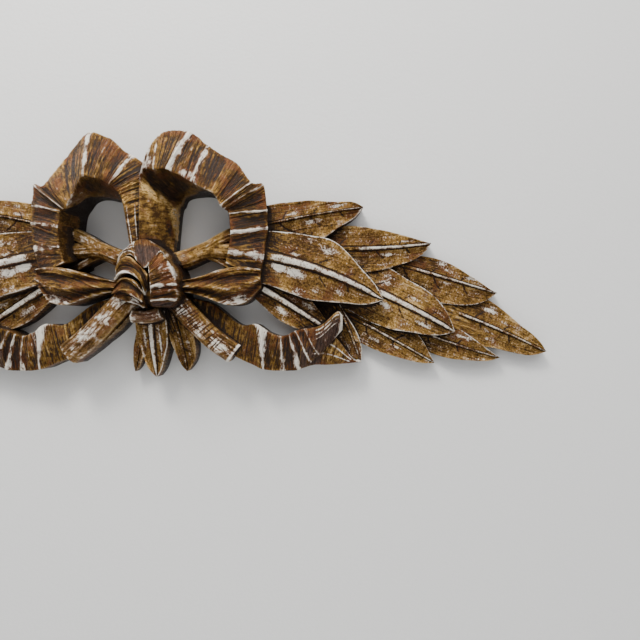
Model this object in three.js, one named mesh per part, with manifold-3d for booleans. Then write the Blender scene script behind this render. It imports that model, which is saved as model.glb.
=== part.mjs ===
// A carved and gilded wooden wall ornament: a knotted ribbon bow with a laurel spray to each side.
// It is cut from one piece of wood with a flat back. Sizes are in millimetres, +Z is up, the back
// lies in the plane y = 0 and the carving rises from it toward -Y.
// Places are written in the order across, up, out, where out is the height above the back.
import * as THREE from 'three';
import { mergeVertices } from 'three/addons/utils/BufferGeometryUtils.js';
import Module from 'manifold-3d';

// Driving dimensions of the bow
const bowReach = 111; // from the middle of the bow to the outer edge of a loop
const bowRise = 140; // from the middle of the knot to the top of the loops
const bowRelief = 54; // front edges of the loops above the back
const knotWidth = 58;
const knotHeight = 62;
const knotRelief = 60; // crown of the knot above the back
const loopLean = 8; // how far the outer wall of a loop leans in toward the back
const ribbonCrown = 2.5; // how far a ribbon swells between its edges
const ribbonGouge = 4; // depth of the channels gouged across a ribbon
const edgeDip = 0.5; // share of that depth which shows at a ribbon's edges
const pleatDepth = 2.6; // folds that run along a ribbon
const stemWidth = 16;
const cutStemWidth = 20; // the sawn stem ends below the knot
const pendantLength = 66; // leaves that hang below the knot

// Driving dimensions of the laurel sprays
const sprayStart = 100; // from the middle of the bow to where the leaves begin
const sprayLength = 282; // from there to the tip of the last leaf
const sprayRelief = 34; // highest midrib above the back
const ribWidth = 5.5; // raised midrib of the broadest leaf
const ribHeight = 1.8;
const bladeSlope = 0.2; // fall of a leaf blade from the midrib to its rim, per unit of width
const bladeCup = 2; // hollow of a blade below the straight line from rib to rim
const groundHeight = 9; // low ground under the leaves

const overrun = 3; // rough stock behind the back plane, before the back is cut flat

const wasm = await Module();
wasm.setup();

const lerp = THREE.MathUtils.lerp;
const mix = (p, q, share) => p.map((value, i) => lerp(value, q[i], share));

// Places as shares of the bow, and as shares of a spray counted from its start
const bow = ([across, up, out]) => [across * bowReach, up * bowRise, out * bowRelief];
const spray = ([across, up]) => [sprayStart + across * sprayLength, up * sprayLength];

function curveThrough(places) {
  const points = places.map((place) => new THREE.Vector3(...place));
  const curve = new THREE.CatmullRomCurve3(points, false, 'catmullrom', 0.5);
  return (share) => curve.getPoint(share).toArray();
}

// A closed solid from its places and triangles, turned inside out where it was wound inward
function solidFrom({ places, faces }) {
  const points = places.map(([across, up, out]) => new THREE.Vector3(across, -out, up));
  const volume = faces.reduce((sum, [a, b, c]) =>
    sum + points[a].dot(points[b].clone().cross(points[c])), 0);
  const outward = volume > 0 ? faces : faces.map(([a, b, c]) => [a, c, b]);
  return new wasm.Manifold(new wasm.Mesh({
    numProp: 3,
    vertProperties: new Float32Array(points.flatMap((point) => point.toArray())),
    triVerts: new Uint32Array(outward.flat()),
  }));
}

// A piece through a row of rings with the same number of places, closed at both ends
function loft(rings) {
  const around = rings[0].length;
  const faces = [];
  for (let ring = 0; ring + 1 < rings.length; ring++) {
    for (let side = 0; side < around; side++) {
      const a = ring * around + side;
      const b = ring * around + (side + 1) % around;
      faces.push([a, b, a + around], [b, b + around, a + around]);
    }
  }
  const places = rings.flat();
  for (const [ring, flip] of [[0, true], [rings.length - 1, false]]) {
    const total = rings[ring].reduce((sum, place) => sum.map((value, i) => value + place[i]));
    const hub = places.push(total.map((value) => value / around)) - 1;
    for (let side = 0; side < around; side++) {
      const a = ring * around + side;
      const b = ring * around + (side + 1) % around;
      faces.push(flip ? [b, a, hub] : [a, b, hub]);
    }
  }
  return { places, faces };
}

function solidOfGeometry(geometry) {
  geometry.deleteAttribute('normal');
  geometry.deleteAttribute('uv');
  const merged = mergeVertices(geometry, 1e-4);
  return new wasm.Manifold(new wasm.Mesh({
    numProp: 3,
    vertProperties: new Float32Array(merged.attributes.position.array),
    triVerts: new Uint32Array(merged.index.array),
  }));
}

const mirrored = ({ places, faces }) => ({
  places: places.map(([across, up, out]) => [-across, up, out]),
  faces,
});

// A ribbon between a front edge and an outer edge. Channels are gouged across it between its ridges,
// and an inner edge, where there is one, carries its other face down behind the front edge. A ridge
// has a share along the front edge, a share along the outer edge and the depth of the channel after it.
const gougeSteps = [0, 0.25, 0.6];
const acrossSteps = [0, 0.3, 0.7, 1];
const leanLimit = 0.5; // of the way from the outer edge to the inner one
const leanFade = 4; // the lean fades out toward the end of the ribbon

function ribbon({
  front, outer, inner, ridges, gouge = ribbonGouge, crown = ribbonCrown, pleats = 0, lean = 0,
}) {
  const frontAt = curveThrough(front);
  const outerAt = curveThrough(outer);
  const innerAt = inner ? curveThrough(inner) : frontAt;
  const stations = [];
  for (let i = 0; i + 1 < ridges.length; i++) {
    for (const step of gougeSteps) {
      const [atFront, atOuter] = mix(ridges[i], ridges[i + 1], step);
      stations.push([atFront, atOuter, ridges[i][2] * 4 * step * (1 - step)]);
    }
  }
  stations.push([...ridges.at(-1).slice(0, 2), 0]);
  return loft(stations.map(([atFront, atOuter, dip]) => {
    const face = acrossSteps.map((share) => {
      const along = lerp(atFront, atOuter, share);
      const f = frontAt(along);
      const o = outerAt(along);
      const flat = Math.hypot(o[0] - f[0], o[1] - f[1]);
      const span = Math.hypot(flat, o[2] - f[2]);
      const fall = (f[2] - o[2]) / span;
      const normal = [(o[0] - f[0]) / flat * fall, (o[1] - f[1]) / flat * fall, flat / span];
      const swell = crown * 4 * share * (1 - share);
      const pleat = pleats ? pleatDepth * Math.cos(2 * Math.PI * pleats * share) : 0;
      const edge = share === 0 || share === 1 ? edgeDip : 1;
      const lift = (swell + pleat - gouge * dip * edge) * flat / span;
      return mix(f, o, share).map((value, i) => value + normal[i] * lift);
    });
    const n = innerAt(atFront);
    const span = Math.hypot(...face[0].map((value, i) => face.at(-1)[i] - value));
    const leant = Math.min(leanLimit, lean / span) * (1 - atOuter ** leanFade);
    const foot = mix(face.at(-1), n, leant);
    const ring = [...face, [foot[0], foot[1], -overrun], [n[0], n[1], -overrun]];
    return inner ? [...ring, n] : ring;
  }));
}

// A stem: a row of [across, up, out, half width], with a section that is round or sawn square
const roundSection = [
  [-1, 0.45], [-0.8, 0.78], [-0.45, 0.95], [0, 1], [0.45, 0.95], [0.8, 0.78], [1, 0.45],
];
const squareSection = [[-1, 0.72], [-0.8, 0.96], [-0.1, 1], [0.75, 0.95], [1, 0.7]];
const nudge = 0.01; // share of a stem between the places that give its direction

function stem(row, section = roundSection) {
  const at = curveThrough(row.map((place) => place.slice(0, 3)));
  const halfAt = curveThrough(row.map((place) => [place[3], 0, 0]));
  const steps = 2 * (row.length - 1);
  return loft(Array.from({ length: steps + 1 }, (_, i) => {
    const along = i / steps;
    const place = at(along);
    const half = halfAt(along)[0];
    const ahead = at(Math.min(1, along + nudge));
    const behind = at(Math.max(0, along - nudge));
    const run = Math.hypot(ahead[0] - behind[0], ahead[1] - behind[1]);
    const side = [-(ahead[1] - behind[1]) / run, (ahead[0] - behind[0]) / run];
    const beside = (offset, out) => [place[0] + side[0] * offset, place[1] + side[1] * offset, out];
    return [
      ...section.map(([offset, high]) => beside(offset * half, place[2] - (1 - high) * 2 * half)),
      beside(half, -overrun),
      beside(-half, -overrun),
    ];
  }));
}

// A leaf from its base to its tip. Its widths to the left and right are shares of its length, at the
// base, at each quarter and toward the tip. Its heights are those of its midrib at the base, half-way
// and at the tip, and its rib is a share of the broadest one.
const leafSteps = [0, 0.14, 0.3, 0.46, 0.62, 0.77, 0.9, 1];
const leafTaper = 8; // how suddenly a leaf closes at its tip
const leafPoint = 0.5; // half width left at the very tip
const hollowAt = 0.6; // deepest line of a blade, as a share of its width from the rib
const ribBase = 1.2; // width of a rib at its base and at its tip, of that between
const ribTip = 0.5;
const ribFoot = 1.5; // half width of a rib at its foot, of that at its top
const ribLimit = 0.3; // widest half rib and deepest cup, of the blade's width
const cupLimit = 0.1;

function leaf({ base, tip, heights, bend, left, right, rib: ribShare }) {
  const widthAt = (widths) => curveThrough(widths.map((width) => [width, 0, 0]));
  const length = Math.hypot(tip[0] - base[0], tip[1] - base[1]);
  const along = [(tip[0] - base[0]) / length, (tip[1] - base[1]) / length];
  const aside = [-along[1], along[0]];
  return loft(leafSteps.map((share) => {
    const sway = 4 * share * (1 - share) * bend * length;
    const slope = 4 * (1 - 2 * share) * bend;
    const turn = Math.hypot(1, slope);
    const across = [(aside[0] - slope * along[0]) / turn, (aside[1] - slope * along[1]) / turn];
    const middle = [0, 1].map((i) => base[i] + along[i] * share * length + aside[i] * sway);
    const [low, high, end] = heights;
    const ridge = lerp(lerp(low, high, share), lerp(high, end, share), share);
    const beside = (offset, out) => [middle[0] + across[0] * offset, middle[1] + across[1] * offset, out];
    const blade = (widths, sign) => {
      const spread = widthAt(widths)(share)[0] * (1 - share ** leafTaper);
      const reach = Math.max(leafPoint, length * spread);
      const rib = Math.min(ribShare * ribWidth / 2, ribLimit * reach) * lerp(ribBase, ribTip, share);
      const rim = ridge - bladeSlope * reach;
      const sunk = Math.min(bladeCup, cupLimit * reach);
      return [
        beside(sign * reach, -overrun),
        beside(sign * reach, rim),
        beside(sign * hollowAt * reach, lerp(ridge - ribHeight, rim, hollowAt) - sunk),
        beside(sign * ribFoot * rib, ridge - ribHeight),
        beside(sign * rib, ridge),
      ];
    };
    return [...blade(left, 1), ...blade(right, -1).reverse()];
  }));
}

// The laurel spray, back leaves first: base and tip as shares of its length, heights of its relief
const sprayLeaves = [
  {
    base: [0.016, 0.188], tip: [0.361, 0.254], bend: 0.01, heights: [0.62, 0.6, 0.42],
    left: [0.18, 0.175, 0.15, 0.1, 0.14], right: [0.25, 0.28, 0.26, 0.17, 0.15], rib: 0.3,
  },
  {
    base: [0.2, 0.118], tip: [0.597, 0.131], bend: -0.03, heights: [0.2, 0.66, 0.36],
    left: [0.18, 0.205, 0.175, 0.115, 0.04], right: [0.2, 0.22, 0.2, 0.165, 0.17], rib: 0.65,
  },
  {
    base: [0.42, 0.082], tip: [0.827, -0.041], bend: -0.005, heights: [0.15, 0.58, 0.3],
    left: [0.11, 0.115, 0.13, 0.08, 0.02], right: [0.2, 0.23, 0.22, 0.195, 0.2], rib: 0.5,
  },
  {
    base: [0.57, -0.062], tip: [1, -0.244], bend: 0.011, heights: [0.1, 0.58, 0.27],
    left: [0.17, 0.2, 0.17, 0.105, 0.1], right: [0.18, 0.19, 0.17, 0.13, 0.15], rib: 0.45,
  },
  {
    base: [0.5, -0.145], tip: [0.838, -0.265], bend: -0.024, heights: [0.1, 0.5, 0.27],
    left: [0.19, 0.19, 0.165, 0.1, 0.04], right: [0.15, 0.155, 0.155, 0.113, 0.1], rib: 0.35,
  },
  {
    base: [0.29, -0.106], tip: [0.61, -0.283], bend: 0.005, heights: [0.25, 0.54, 0.3],
    left: [0.19, 0.2, 0.2, 0.165, 0.08], right: [0.19, 0.18, 0.165, 0.12, 0.1], rib: 0.4,
  },
  {
    base: [0.264, -0.066], tip: [0.353, -0.28], bend: 0.023, heights: [0.35, 0.58, 0.35],
    left: [0.03, 0.05, 0.09, 0.1, 0.1], right: [0.27, 0.32, 0.31, 0.22, 0.1], rib: 0.4,
  },
  {
    base: [-0.01, -0.012], tip: [0.264, -0.186], bend: 0.013, heights: [0.6, 0.58, 0.38],
    left: [0.16, 0.19, 0.18, 0.12, 0.05], right: [0.11, 0.175, 0.195, 0.15, 0.1], rib: 0.95,
  },
  {
    base: [0.29, 0.02], tip: [0.674, -0.174], bend: 0.012, heights: [0.2, 0.9, 0.5],
    left: [0.2, 0.215, 0.19, 0.175, 0.13], right: [0.2, 0.24, 0.235, 0.17, 0.16], rib: 0.95,
  },
  {
    base: [0.019, 0.084], tip: [0.426, -0.067], bend: 0.045, heights: [0.8, 1.04, 0.76],
    left: [0.19, 0.228, 0.243, 0.145, 0.1], right: [0.21, 0.238, 0.238, 0.178, 0.17], rib: 1.15,
  },
];

// The low ground that the leaves are carved on: across, up, half width
const groundRow = [
  [-0.12, 0.09, 0.05], [0.03, 0.085, 0.11], [0.3, -0.01, 0.14], [0.6, -0.105, 0.09],
  [0.86, -0.185, 0.03],
];

const groundPlace = ([across, up, wide]) => [
  ...spray([across, up]), groundHeight, wide * sprayLength,
];
const laurelSpray = () => [
  ...sprayLeaves.map((one) => leaf({
    ...one,
    base: spray(one.base),
    tip: spray(one.tip),
    heights: one.heights.map((high) => high * sprayRelief),
  })),
  stem(groundRow.map(groundPlace), squareSection),
];

// The right loop: front, outer and inner edges, section by section from the knot and round
const loopFront = [
  [-0.04, 0.10, 0.81], [-0.02, 0.46, 0.93], [0, 0.67, 0.96], [0.11, 0.69, 1], [0.22, 0.69, 1],
  [0.40, 0.62, 0.94], [0.57, 0.55, 0.87], [0.63, 0.47, 0.85], [0.66, 0.45, 0.85], [0.70, 0.42, 0.83],
  [0.71, 0.26, 0.83], [0.67, 0.10, 0.80],
];
const loopOuter = [
  [-0.12, 0.13, 0.37], [-0.08, 0.51, 0.45], [0.01, 0.81, 0.76], [0.14, 0.985, 0.63], [0.35, 0.99, 0.57],
  [0.50, 0.90, 0.56], [0.74, 0.78, 0.57], [0.87, 0.65, 0.59], [0.97, 0.63, 0.61], [1, 0.46, 0.57],
  [1, 0.30, 0.57], [0.94, 0.01, 0.52],
];
const loopInner = [
  [0.17, 0.13, 0.37], [0.21, 0.47, 0.35], [0.24, 0.53, 0.33], [0.26, 0.57, 0.33], [0.30, 0.59, 0.33],
  [0.38, 0.60, 0.33], [0.49, 0.60, 0.33], [0.56, 0.56, 0.33], [0.60, 0.52, 0.33], [0.65, 0.45, 0.33],
  [0.67, 0.28, 0.33], [0.65, 0.13, 0.37],
];
const loopRidges = [
  [0, 0, 0.15], [0.09, 0.09, 0.15], [0.19, 0.19, 0.3], [0.27, 0.25, 0.8], [0.364, 0.364, 0.8],
  [0.41, 0.41, 0.7], [0.455, 0.455, 1], [0.545, 0.545, 0.8], [0.636, 0.636, 0.5], [0.727, 0.727, 1],
  [0.818, 0.818, 1], [0.89, 0.89, 0.9], [0.96, 0.96, 0.6], [1, 1, 0],
];

// The left loop turns its outer face to the front at its root, and then follows the right one
const leftRootFront = [
  [0.12, 0.19, 0.74], [0.15, 0.35, 0.78], [0.18, 0.52, 0.85], [0.24, 0.58, 0.89], [0.29, 0.61, 0.93],
  [0.38, 0.64, 0.96], [0.50, 0.64, 0.92],
];
const leftRootOuter = [
  [0.05, 0.12, 0.56], [0.03, 0.43, 0.63], [0, 0.62, 0.67], [-0.01, 0.74, 0.70], [0.20, 0.86, 0.65],
  [0.34, 0.95, 0.59], [0.55, 0.97, 0.57],
];
const leftRootInner = [
  [0.19, 0.21, 0.37], [0.22, 0.38, 0.37], [0.26, 0.52, 0.37], [0.31, 0.56, 0.37], [0.37, 0.57, 0.37],
  [0.43, 0.58, 0.35], [0.50, 0.58, 0.35],
];
const leftRidges = [
  [0, 0, 0.2], [0.1, 0.1, 0.3], [0.23, 0.23, 0.9], [0.33, 0.33, 0.8], [0.395, 0.395, 0.5],
  [0.45, 0.45, 0.9], [0.53, 0.53, 1], [0.62, 0.62, 0.9], [0.727, 0.727, 1], [0.8, 0.8, 1],
  [0.87, 0.87, 0.9], [0.94, 0.94, 0.6], [1, 1, 0],
];
const followRight = (root, whole) => [...root, ...whole.slice(root.length)].map(bow);

const loop = () => ribbon({
  front: loopFront.map(bow),
  outer: loopOuter.map(bow),
  inner: loopInner.map(bow),
  ridges: loopRidges,
  lean: loopLean,
});
const leftLoop = () => mirrored(ribbon({
  front: followRight(leftRootFront, loopFront),
  outer: followRight(leftRootOuter, loopOuter),
  inner: followRight(leftRootInner, loopInner),
  ridges: leftRidges,
  lean: loopLean,
}));

// The ribbon's way back from the foot of a loop to the knot, pleated along its length
const returnUpper = [
  [0.09, -0.03, 0.63], [0.29, -0.01, 0.67], [0.46, 0.02, 0.70], [0.62, 0.06, 0.74],
  [0.78, 0.08, 0.70], [0.94, 0.07, 0.60],
];
const returnLower = [
  [0.07, -0.08, 0.56], [0.29, -0.08, 0.59], [0.48, -0.12, 0.63], [0.67, -0.17, 0.67],
  [0.82, -0.15, 0.61], [0.94, -0.05, 0.50],
];
const returnCrown = 4;
const returnPleats = 2;
const plain = { ridges: [[0, 0, 0], [0.5, 0.5, 0], [1, 1, 0]], gouge: 0 }; // a ribbon without channels
const loopReturn = () => ribbon({
  ...plain,
  front: returnUpper.map(bow),
  outer: returnLower.map(bow),
  crown: returnCrown,
  pleats: returnPleats,
});

// The ribbon's tail: a rippled band that curls up over the leaves, and the flat tongue below the curl
const tailUpper = [
  [0.25, -0.11, 0.37], [0.51, -0.16, 0.37], [0.75, -0.30, 0.41], [0.90, -0.30, 0.50], [1.02, -0.36, 0.48],
  [1.13, -0.38, 0.43], [1.25, -0.34, 0.46], [1.44, -0.31, 0.50], [1.58, -0.22, 0.66], [1.63, -0.24, 0.62],
];
const tailLower = [
  [0.30, -0.26, 0.33], [0.53, -0.43, 0.35], [0.73, -0.53, 0.37], [0.87, -0.58, 0.43], [0.97, -0.61, 0.46],
  [1.12, -0.62, 0.39], [1.27, -0.61, 0.41], [1.41, -0.53, 0.44], [1.53, -0.43, 0.52], [1.63, -0.34, 0.55],
];
const tailRidges = [
  [0, 0, 0.3], [0.2, 0.2, 0.5], [0.37, 0.43, 0.9], [0.53, 0.56, 1], [0.6, 0.66, 1], [0.65, 0.74, 0.8],
  [0.7, 0.8, 0.3], [0.78, 0.86, 0.4], [1, 1, 0],
];
const tongueUpper = [
  [1.28, -0.42, 0.43], [1.41, -0.36, 0.43], [1.56, -0.38, 0.42], [1.72, -0.53, 0.31],
  [1.79, -0.55, 0.26],
];
const tongueLower = [
  [1.26, -0.61, 0.39], [1.39, -0.58, 0.37], [1.51, -0.58, 0.35], [1.70, -0.57, 0.30],
  [1.80, -0.56, 0.24],
];
const tail = () => [
  ribbon({ front: tailUpper.map(bow), outer: tailLower.map(bow), ridges: tailRidges }),
  ribbon({ ...plain, front: tongueUpper.map(bow), outer: tongueLower.map(bow) }),
];

// Stems that run from the knot under the loops into a spray: across, up, out, and a share of the
// width, then the place where each one meets the leaves
const stemRows = [
  {
    run: [[0, 0.1, 0.46, 1], [0.26, 0.15, 0.48, 1], [0.46, 0.22, 0.48, 0.8], [0.66, 0.31, 0.46, 0.75]],
    end: [0.02, 0.19, 0.6],
  },
  {
    run: [[0, 0.1, 0.46, 1], [0.26, 0.14, 0.48, 1], [0.46, 0.2, 0.48, 0.9], [0.66, 0.2, 0.48, 1]],
    end: [0.03, 0.1, 0.75],
  },
  {
    run: [
      [0.1, 0.1, 0.37, 0.5], [0.25, 0.14, 0.37, 0.4], [0.43, 0.175, 0.37, 0.4],
      [0.63, 0.11, 0.37, 0.4],
    ],
    end: [0.02, -0.02, 0.5],
  },
];
const stems = () => stemRows.map(({ run, end }) => stem([
  ...run.map(([across, up, out, share]) => [...bow([across, up, out]), share * stemWidth / 2]),
  [...spray(end), end[2] * sprayRelief, stemWidth / 2],
]));

// Sawn stem ends below the knot. The left one is wider and carries a hollow strip beneath it.
const cutRow = [
  [0.06, -0.05, 0.63], [0.23, -0.15, 0.65], [0.37, -0.27, 0.67], [0.54, -0.40, 0.65],
  [0.71, -0.50, 0.58],
];
const leftCutWiden = 1.12;
const cutStem = (widen) =>
  stem(cutRow.map((place) => [...bow(place), widen * cutStemWidth / 2]), squareSection);
const hollowUpper = [
  [-0.15, -0.18, 0.50], [-0.36, -0.32, 0.52], [-0.55, -0.44, 0.48], [-0.70, -0.52, 0.42],
];
const hollowLower = [
  [-0.19, -0.25, 0.48], [-0.33, -0.37, 0.48], [-0.50, -0.47, 0.44], [-0.68, -0.56, 0.38],
];
const hollowCrown = -3; // the strip is hollow, where other ribbons swell
const hollowStrip = () => ribbon({
  ...plain, front: hollowUpper.map(bow), outer: hollowLower.map(bow), crown: hollowCrown,
});

// Leaves that hang below the knot: base and tip across and up in shares of the pendant
const pendantTop = -0.19; // share of the bow's rise
const pendantLeaves = [
  {
    base: [-0.12, -0.2], tip: [-0.31, -0.93], bend: 0, heights: [0.42, 0.36, 0.2],
    left: [0.12, 0.14, 0.14, 0.1, 0.1], right: [0.1, 0.12, 0.12, 0.09, 0.08], rib: 0.3,
  },
  {
    base: [0.27, 0.05], tip: [0.48, -0.92], bend: 0.03, heights: [0.58, 0.5, 0.3],
    left: [0.15, 0.18, 0.2, 0.19, 0.16], right: [0.15, 0.15, 0.14, 0.12, 0.13], rib: 0.45,
  },
  {
    base: [0.02, 0], tip: [0.05, -1], bend: 0, heights: [0.67, 0.62, 0.36],
    left: [0.2, 0.225, 0.21, 0.15, 0.13], right: [0.2, 0.22, 0.2, 0.155, 0.15], rib: 0.8,
  },
];
const pendantPlace = ([across, up]) => [
  across * pendantLength, pendantTop * bowRise + up * pendantLength,
];
const pendants = () => pendantLeaves.map((one) => leaf({
  ...one,
  base: pendantPlace(one.base),
  tip: pendantPlace(one.tip),
  heights: one.heights.map((high) => high * bowRelief),
}));

// The knot: a rounded core wrapped in ribbon. A hood lies over the top, a roll and a tongue come out
// on its left, a broad fold runs down its right side and a small tie lies below.
const knotMiddle = [0.2, -0.16]; // of the knot's own half width and half height
const knot = ([across, up, out]) => [
  (knotMiddle[0] + across) * knotWidth / 2,
  (knotMiddle[1] + up) * knotHeight / 2,
  out * knotRelief,
];
const coreShare = 0.95; // of the knot's size, so that the wraps stand proud of the core
const knotCore = () => {
  const core = new THREE.SphereGeometry(1, 12, 10);
  core.scale(coreShare * knotWidth / 2, coreShare * knotRelief, coreShare * knotHeight / 2);
  core.translate(knotMiddle[0] * knotWidth / 2, 0, knotMiddle[1] * knotHeight / 2);
  return solidOfGeometry(core);
};
const hoodGouge = 1.5;
const rollCrown = 2;
const tongueCrown = 4;
const foldGouge = 2;
const foldCrown = 3;
const knotWraps = [
  {
    front: [
      [-0.93, 0.35, 0.83], [-0.71, 0.70, 0.95], [-0.42, 0.80, 1], [-0.13, 0.56, 1.07],
      [0.08, 0.41, 1.10], [0.33, 0.66, 1.08], [0.52, 0.88, 1.02], [0.70, 0.59, 0.92],
    ],
    outer: [
      [-1.08, 0.41, 0.70], [-0.91, 0.83, 0.77], [-0.65, 1.07, 0.80], [-0.37, 1.25, 0.83],
      [-0.10, 1.29, 0.83], [0.18, 1.19, 0.83], [0.43, 1.02, 0.83], [0.68, 0.76, 0.82],
    ],
    ridges: [[0, 0, 0.4], [0.2, 0.15, 0.8], [0.4, 0.38, 0.6], [0.62, 0.6, 0.8], [1, 1, 0]],
    gouge: hoodGouge,
  },
  {
    ...plain,
    front: [
      [-1.02, 0.03, 0.83], [-0.77, 0.23, 0.95], [-0.41, 0.23, 1.02], [-0.15, 0.09, 1.03],
      [-0.02, -0.08, 1.02], [0.01, -0.35, 0.95],
    ],
    outer: [
      [-1.02, 0.46, 0.78], [-0.74, 0.67, 0.90], [-0.46, 0.73, 0.96], [-0.17, 0.53, 1.03],
      [-0.01, 0.40, 1.06], [0.16, 0.21, 1.03],
    ],
    crown: rollCrown,
  },
  {
    ...plain,
    front: [
      [-1.05, -0.06, 0.80], [-0.76, 0.13, 0.91], [-0.45, 0.14, 0.97], [-0.20, 0.01, 0.99],
      [-0.04, -0.22, 0.97],
    ],
    outer: [
      [-1.14, -0.36, 0.70], [-0.88, -0.45, 0.78], [-0.59, -0.52, 0.83], [-0.33, -0.60, 0.85],
      [-0.10, -0.69, 0.83],
    ],
    crown: tongueCrown,
  },
  {
    front: [
      [0.16, 0.50, 1.07], [0.20, 0.24, 1.09], [0.23, -0.03, 1.08], [0.24, -0.25, 1.07],
      [0.18, -0.50, 1], [0.18, -0.69, 0.87],
    ],
    outer: [
      [0.55, 0.87, 1], [0.84, 0.47, 0.97], [1, 0.10, 0.95], [1.03, -0.18, 0.95],
      [1.01, -0.46, 0.92], [0.72, -0.69, 0.80],
    ],
    ridges: [
      [0, 0, 0.4], [0.25, 0.25, 0.7], [0.5, 0.5, 0.8], [0.64, 0.64, 1], [0.82, 0.82, 0.8], [1, 1, 0],
    ],
    gouge: foldGouge,
    crown: foldCrown,
  },
];
const tieRow = [[-0.64, -0.95, 0.73], [-0.29, -0.98, 0.78], [0.03, -0.95, 0.80], [0.29, -0.86, 0.77]];
const tieShare = 0.2; // half thickness of the tie, of half the knot's width
const knotFolds = () => [
  ...knotWraps.map((wrap) =>
    ribbon({ ...wrap, front: wrap.front.map(knot), outer: wrap.outer.map(knot) })),
  stem(tieRow.map((place) => [...knot(place), tieShare * knotWidth / 2])),
];

// Everything is one body, cut flat along the back
const bothSides = [loopReturn(), ...tail(), ...stems(), ...laurelSpray()];
const pieces = [
  loop(), cutStem(1), ...bothSides,
  leftLoop(), hollowStrip(), ...[cutStem(leftCutWiden), ...bothSides].map(mirrored),
  ...pendants(), ...knotFolds(),
];
const carving = pieces.map(solidFrom).reduce((joined, solid) => joined.add(solid), knotCore());

const stockLength = 4 * (sprayStart + sprayLength); // well past the carving on every side
const stockHeight = 8 * bowRise;
const stockDepth = 2 * knotRelief;
const backStock = new THREE.BoxGeometry(stockLength, stockDepth, stockHeight);
backStock.translate(0, stockDepth / 2, 0);
const body = carving.subtract(solidOfGeometry(backStock)).getMesh();

const geometry = new THREE.BufferGeometry();
geometry.setAttribute('position', new THREE.BufferAttribute(new Float32Array(body.vertProperties), 3));
geometry.setIndex(new THREE.BufferAttribute(new Uint32Array(body.triVerts), 1));

const gilding = new THREE.MeshStandardMaterial({ color: 0x7d5c2b, roughness: 0.48, metalness: 0.35 });
const ornament = new THREE.Mesh(geometry, gilding);
ornament.name = 'bow_and_laurel_ornament';

const group = new THREE.Group();
group.add(ornament);

export default group;
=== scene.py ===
# A carved and gilded wooden wall ornament, a knotted ribbon bow between two laurel sprays, on a wall.
# The carving is worked out in millimetres, as places of across, up and out, where out is the height
# above the flat back, and is made into mesh in metres.
import math

import bpy
import numpy as np
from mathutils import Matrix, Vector
from mathutils.bvhtree import BVHTree
from mathutils.kdtree import KDTree


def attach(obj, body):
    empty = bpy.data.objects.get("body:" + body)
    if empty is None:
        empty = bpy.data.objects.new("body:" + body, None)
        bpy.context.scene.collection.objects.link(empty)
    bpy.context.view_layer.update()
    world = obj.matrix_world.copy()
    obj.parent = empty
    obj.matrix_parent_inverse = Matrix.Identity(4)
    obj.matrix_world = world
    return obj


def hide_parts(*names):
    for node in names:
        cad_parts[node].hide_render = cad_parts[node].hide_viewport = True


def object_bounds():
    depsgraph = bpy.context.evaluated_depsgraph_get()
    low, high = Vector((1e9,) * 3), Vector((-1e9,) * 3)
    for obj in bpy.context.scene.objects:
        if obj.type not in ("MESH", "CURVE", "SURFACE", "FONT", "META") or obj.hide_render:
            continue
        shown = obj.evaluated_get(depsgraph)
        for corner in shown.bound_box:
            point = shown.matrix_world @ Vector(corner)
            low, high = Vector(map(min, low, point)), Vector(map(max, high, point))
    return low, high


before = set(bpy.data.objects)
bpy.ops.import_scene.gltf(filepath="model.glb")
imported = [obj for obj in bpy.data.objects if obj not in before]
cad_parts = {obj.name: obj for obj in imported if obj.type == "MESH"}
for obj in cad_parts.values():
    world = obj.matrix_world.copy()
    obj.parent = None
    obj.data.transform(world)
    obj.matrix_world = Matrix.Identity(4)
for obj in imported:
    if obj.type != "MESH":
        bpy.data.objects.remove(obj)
cad_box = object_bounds()

NODE = "bow_and_laurel_ornament"
MM = 0.001
PERCENT = 100  # places and widths are written as percentages of the sizes below
rng = np.random.default_rng(7)

# Driving dimensions of the bow
BOW_REACH = 111  # from the middle of the bow to the outer edge of a loop
BOW_RISE = 140  # from the middle of the knot to the top of the loops
BOW_RELIEF = 54  # front edges of the loops above the back
KNOT_WIDTH = 58
KNOT_HEIGHT = 62
KNOT_RELIEF = 60
LOOP_LEAN = 8  # how far the outer wall of a loop leans in toward the back
RIBBON_CROWN = 2.5
RIBBON_GOUGE = 4
EDGE_DIP = 0.5  # share of the channels' depth which shows at a ribbon's edges
PLEAT_DEPTH = 2.6
STEM_WIDTH = 16
CUT_STEM_WIDTH = 20
PENDANT_LENGTH = 66

# Driving dimensions of the laurel sprays
SPRAY_START = 100
SPRAY_LENGTH = 282
SPRAY_RELIEF = 34
RIB_WIDTH = 5.5
RIB_HEIGHT = 1.8
BLADE_SLOPE = 0.2
BLADE_CUP = 2.0
GROUND_HEIGHT = 9

# Sizes of the finer carving
STATION = 0.85  # spacing of the rings along a ribbon or a stem
LEAF_STATION = 0.95
EDGE_ROUND = 1.0  # worn rounding of edges
STREAK_DEPTH = 0.36  # tool marks along the channels
RIB_GROOVE = 0.9  # depth of the cuts beside a midrib
VEIN_DEPTH = 1.1
VEIN_WIDTH = 0.8
VEIN_GAP = 30  # distance between the side veins of a leaf
RIM_BEAD = 0.4  # raised rim of a leaf
BLADE_WAVE = 1.1  # how far the rim of a leaf rises and falls along it
PATCH_WAVES = (19, 29, 47)  # lengths of the waves by which wear comes and goes along an edge
PATCH_LEAST = 0.15
WALL_ROWS = 7
OVERRUN = 3  # rough stock behind the back plane, before the back is cut flat


def smooth(low, high, value):
    t = np.clip((value - low) / (high - low), 0, 1)
    return t * t * (3 - 2 * t)


def mix(a, b, share):
    return a + (b - a) * share


def bow(place):
    return np.array(place) / PERCENT * (BOW_REACH, BOW_RISE, BOW_RELIEF)


def spray(place):
    return np.array(place) / PERCENT * SPRAY_LENGTH + (SPRAY_START, 0)


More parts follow.
